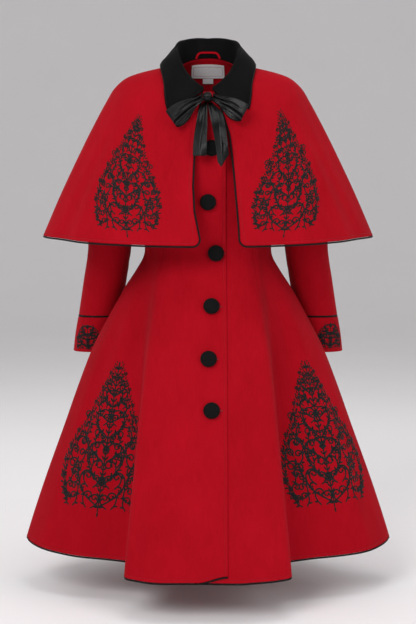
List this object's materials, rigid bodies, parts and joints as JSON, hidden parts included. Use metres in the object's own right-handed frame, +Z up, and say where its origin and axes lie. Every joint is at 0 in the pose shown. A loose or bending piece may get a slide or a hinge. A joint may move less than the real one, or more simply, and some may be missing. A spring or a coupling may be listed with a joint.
{
  "type": "swing coat with a shoulder cape",
  "caption": "Flared wool coat with a shoulder cape, turned-down collar, ribbon bow, covered buttons and piped edges; hollow as if worn.",
  "frame": {"origin": "middle of the neck and shoulders, where the wearer holds the coat up", "axes": "+Z up along the body, the front faces -Y, +X is the wearer's left side"},
  "size_m": [0.792, 0.5778, 1.1075],
  "materials": {
    "wool": "brushed wool with a short nap",
    "collar": "matt wool felt",
    "satin": "satin ribbon",
    "piping": "matt cord piping",
    "button": "cloth covered",
    "label": "woven satin tape"
  },
  "bodies": {
    "root": {"coat_front_right": "wool", "hem_piping_front_right": "piping", "coat_front_left": "wool", "hem_piping_front_left": "piping", "coat_side_front_right": "wool", "hem_piping_side_front_right": "piping", "coat_side_front_left": "wool", "hem_piping_side_front_left": "piping", "coat_side_back_right": "wool", "hem_piping_side_back_right": "piping", "coat_side_back_left": "wool", "hem_piping_side_back_left": "piping", "coat_back_right": "wool", "hem_piping_back_right": "piping", "coat_back_left": "wool", "hem_piping_back_left": "piping", "top_sleeve_right": "wool", "under_sleeve_right": "wool", "cuff_right": "wool", "cuff_piping_right": "piping", "cape_front_right": "wool", "cape_piping_right": "piping", "bow_loop_right": "satin", "bow_tail_right": "satin", "top_sleeve_left": "wool", "under_sleeve_left": "wool", "cuff_left": "wool", "cuff_piping_left": "piping", "cape_front_left": "wool", "cape_piping_left": "piping", "bow_loop_left": "satin", "bow_tail_left": "satin", "cape_back": "wool", "cape_piping_back": "piping", "collar": "collar", "bow_knot": "satin", "button_1": "button", "button_2": "button", "button_3": "button", "button_4": "button", "button_5": "button", "button_6": "button", "hanger_loop": "wool", "neck_label": "label", "size_tag": "label"}
  },
  "joints": []
}
